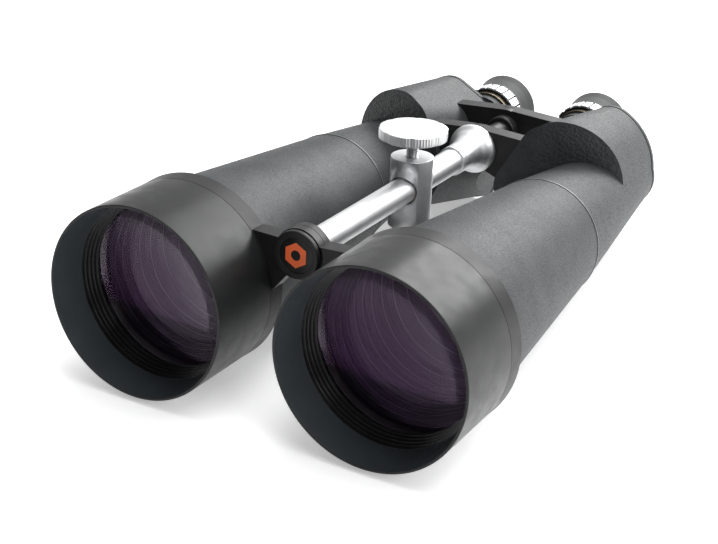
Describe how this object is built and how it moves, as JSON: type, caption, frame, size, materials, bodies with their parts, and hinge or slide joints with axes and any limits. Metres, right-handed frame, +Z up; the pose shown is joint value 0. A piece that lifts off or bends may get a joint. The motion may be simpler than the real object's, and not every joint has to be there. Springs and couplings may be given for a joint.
{
  "type": "astronomy binoculars",
  "caption": "Giant Porro-prism astronomy binoculars with 100 mm objectives, a folding hinge bar, a sliding tripod post with a clamp knob and individually focused eyepieces.",
  "frame": {"origin": "bottom centre of the bounding box, on the surface the binoculars lie on", "axes": "+Y from the objectives towards the eyepieces, +Z up, +X the user's left-eye side; the barrels lean 3.0 degrees down towards the eyepieces as they lie"},
  "size_m": [0.266, 0.4139, 0.121],
  "materials": {
    "black_satin": "satin black paint on aluminium",
    "black_grain": "black leather-grain paint on aluminium",
    "black_anodised": "black anodised aluminium",
    "silver": "satin aluminium",
    "steel": "turned steel",
    "brass": "dull brass-toned",
    "lens_glass": "violet-coated optical glass",
    "prism_glass": "clear optical glass",
    "rubber": "matt black rubber",
    "baffle_black": "ribbed matt black",
    "badge": "orange and black disc",
    "focus_finish": "black ring with bright fluted rim"
  },
  "bodies": {
    "left_half": {"left_objective_bell": "black_satin", "left_lens_retainer": "black_anodised", "left_lens_cell": "black_anodised", "left_crown_lens": "lens_glass", "left_flint_lens": "lens_glass", "left_objective_ring": "black_satin", "left_barrel_tube": "black_grain", "left_baffle_tube": "baffle_black", "left_prism_housing": "black_grain", "left_rear_prism": "prism_glass", "left_front_prism": "prism_glass", "left_rear_prism_clip": "steel", "left_front_prism_clip": "steel", "left_prism_shelf": "black_anodised", "left_rear_cover": "black_satin", "left_cover_screws": "steel", "left_eyepiece_socket": "brass", "tripod_bar": "silver", "bar_sleeve": "silver", "hinge_axle": "steel", "hinge_tube": "black_satin", "hinge_collar": "black_satin", "hinge_nut": "steel", "hinge_end_cap": "black_satin", "hub_cap": "black_satin", "hub_badge": "badge", "hub_screw": "steel"},
    "right_half": {"right_objective_bell": "black_satin", "right_lens_retainer": "black_anodised", "right_lens_cell": "black_anodised", "right_crown_lens": "lens_glass", "right_flint_lens": "lens_glass", "right_objective_ring": "black_satin", "right_barrel_tube": "black_grain", "right_baffle_tube": "baffle_black", "right_prism_housing": "black_grain", "right_rear_prism": "prism_glass", "right_front_prism": "prism_glass", "right_rear_prism_clip": "steel", "right_front_prism_clip": "steel", "right_prism_shelf": "black_anodised", "right_rear_cover": "black_satin", "right_cover_screws": "steel", "right_eyepiece_socket": "brass"},
    "left_eyepiece": {"left_eyepiece_barrel": "black_anodised", "left_field_lens": "lens_glass", "left_eye_lens": "lens_glass"},
    "left_focus": {"left_focus_ring": "focus_finish", "left_eyecup": "rubber"},
    "right_eyepiece": {"right_eyepiece_barrel": "black_anodised", "right_field_lens": "lens_glass", "right_eye_lens": "lens_glass"},
    "right_focus": {"right_focus_ring": "focus_finish", "right_eyecup": "rubber"},
    "post_bush": {"post_bush": "brass"},
    "tripod_post": {"tripod_post": "silver", "thread_insert": "steel"},
    "clamp_pad": {"clamp_pad": "brass"},
    "clamp_knob": {"clamp_knob": "silver", "clamp_stud": "steel"}
  },
  "joints": [
    {"name": "fold", "type": "hinge", "parent": "left_half", "child": "right_half", "pos_m": [0, -0.14351, 0.08843], "axis": [0, 0.9987, -0.0516], "range_deg": [-41, 4]},
    {"name": "left_focus_travel", "type": "slide", "parent": "left_half", "child": "left_eyepiece", "axis": [0, 0.9987, -0.0516], "range_m": [-0.0025, 0.0035]},
    {"name": "left_focus_turn", "type": "hinge", "parent": "left_eyepiece", "child": "left_focus", "pos_m": [0.0366, 0.18546, 0.06009], "axis": [0, 0.9987, -0.0516], "range_deg": [-150, 210]},
    {"name": "right_focus_travel", "type": "slide", "parent": "right_half", "child": "right_eyepiece", "axis": [0, 0.9987, -0.0516], "range_m": [-0.0025, 0.0035]},
    {"name": "right_focus_turn", "type": "hinge", "parent": "right_eyepiece", "child": "right_focus", "pos_m": [-0.0366, 0.18546, 0.06009], "axis": [0, 0.9987, -0.0516], "range_deg": [-150, 210]},
    {"name": "post_slide", "type": "slide", "parent": "left_half", "child": "post_bush", "axis": [0, -0.9987, 0.0516], "range_m": [-0.043, 0.108]},
    {"name": "post_swivel", "type": "hinge", "parent": "post_bush", "child": "tripod_post", "pos_m": [0, -0.01598, 0.08185], "axis": [0, 0.9987, -0.0516], "range_deg": [-30, 30]},
    {"name": "clamp_travel", "type": "slide", "parent": "tripod_post", "child": "clamp_pad", "axis": [0, 0.0516, 0.9987], "range_m": [-0.0004, 0.005]},
    {"name": "clamp_turn", "type": "hinge", "parent": "clamp_pad", "child": "clamp_knob", "pos_m": [0, -0.01435, 0.11344], "axis": [0, 0.0516, 0.9987], "range_deg": [-115, 1440]}
  ],
  "couplings": [
    {"joint": "left_focus_travel", "follows": "left_focus_turn", "m_per_rad": 0.00095493},
    {"joint": "right_focus_travel", "follows": "right_focus_turn", "m_per_rad": 0.00095493},
    {"joint": "clamp_travel", "follows": "clamp_turn", "m_per_rad": 0.00019894}
  ]
}
